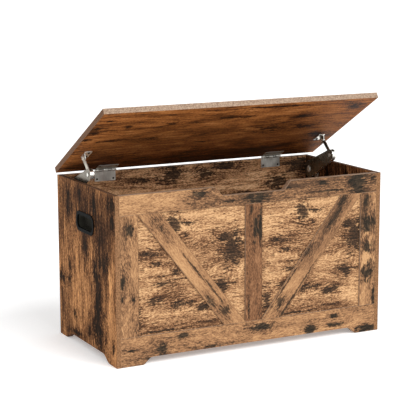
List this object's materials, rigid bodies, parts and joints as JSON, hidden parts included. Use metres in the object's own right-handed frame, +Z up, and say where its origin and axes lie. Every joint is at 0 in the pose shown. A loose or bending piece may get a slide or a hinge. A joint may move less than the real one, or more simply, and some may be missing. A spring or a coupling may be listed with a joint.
{
  "type": "toy box",
  "caption": "Lidded wooden toy box with a framed, braced front, recessed side handles and a lift-up lid on butt hinges and folding friction stays.",
  "frame": {"origin": "on the floor, under the middle of the box", "axes": "+Z up, +X to the box's right seen from the front, -Y towards the front, lid hinged at +Y"},
  "size_m": [0.8, 0.38, 0.6484],
  "materials": {
    "board": "rustic brown woodgrain laminate on particle board, dark knots and streaks",
    "trim": "rustic brown woodgrain laminate, grain along each strip",
    "steel": "zinc plated steel",
    "arm_steel": "dark plated pressed steel",
    "screw_steel": "dark plated screws",
    "cam_metal": "grey zinc casting",
    "nylon": "white nylon",
    "black_plastic": "smooth black plastic",
    "dowel_wood": "plain beech"
  },
  "bodies": {
    "chest": {"left_side_panel": "board", "right_side_panel": "board", "front_panel": "board", "back_panel": "board", "floor_panel": "board", "top_rail": "trim", "bottom_rail": "trim", "left_stile": "trim", "centre_stile": "trim", "right_stile": "trim", "left_brace": "trim", "right_brace": "trim", "left_hinge_box_leaf": "steel", "right_hinge_box_leaf": "steel", "left_hinge_pin": "steel", "right_hinge_pin": "steel", "hinge_box_screws": "screw_steel", "left_handle_cup": "black_plastic", "right_handle_cup": "black_plastic", "left_stay_base": "steel", "right_stay_base": "steel", "left_stay_base_rivet": "steel", "right_stay_base_rivet": "steel", "left_stay_friction_discs": "nylon", "right_stay_friction_discs": "nylon", "stay_base_screws": "screw_steel", "cam_locks": "cam_metal", "cam_bolts": "steel", "wooden_dowels": "dowel_wood"},
    "lid": {"lid_panel": "board", "left_hinge_lid_leaf": "steel", "right_hinge_lid_leaf": "steel", "hinge_lid_screws": "screw_steel", "left_stay_lid_bracket": "steel", "right_stay_lid_bracket": "steel", "left_stay_lid_rivet": "steel", "right_stay_lid_rivet": "steel", "stay_lid_screws": "screw_steel"},
    "left_lower_arm": {"left_stay_lower_arm": "arm_steel", "left_stay_elbow_rivet": "steel", "left_stay_elbow_washers": "nylon"},
    "left_upper_link": {"left_stay_upper_link": "steel"},
    "right_lower_arm": {"right_stay_lower_arm": "arm_steel", "right_stay_elbow_rivet": "steel", "right_stay_elbow_washers": "nylon"},
    "right_upper_link": {"right_stay_upper_link": "steel"}
  },
  "joints": [
    {"name": "lid_hinge", "type": "hinge", "parent": "chest", "child": "lid", "pos_m": [0, 0.1717, 0.4417], "axis": [-1, 0, 0], "range_deg": [-30, 45]},
    {"name": "left_arm_pivot", "type": "hinge", "parent": "chest", "child": "left_lower_arm", "pos_m": [-0.366, 0.1297, 0.4047], "axis": [-1, 0, 0], "range_deg": [-30, 45]},
    {"name": "left_link_pivot", "type": "hinge", "parent": "lid", "child": "left_upper_link", "pos_m": [-0.366, 0.06204, 0.49577], "axis": [-1, 0, 0], "range_deg": [-45, 30]},
    {"name": "right_arm_pivot", "type": "hinge", "parent": "chest", "child": "right_lower_arm", "pos_m": [0.366, 0.1297, 0.4047], "axis": [-1, 0, 0], "range_deg": [-30, 45]},
    {"name": "right_link_pivot", "type": "hinge", "parent": "lid", "child": "right_upper_link", "pos_m": [0.366, 0.06204, 0.49577], "axis": [-1, 0, 0], "range_deg": [-45, 30]}
  ],
  "couplings": [
    {"joint": "left_arm_pivot", "follows": "lid_hinge", "ratio": 1},
    {"joint": "left_link_pivot", "follows": "lid_hinge", "ratio": -1},
    {"joint": "right_arm_pivot", "follows": "lid_hinge", "ratio": 1},
    {"joint": "right_link_pivot", "follows": "lid_hinge", "ratio": -1}
  ]
}
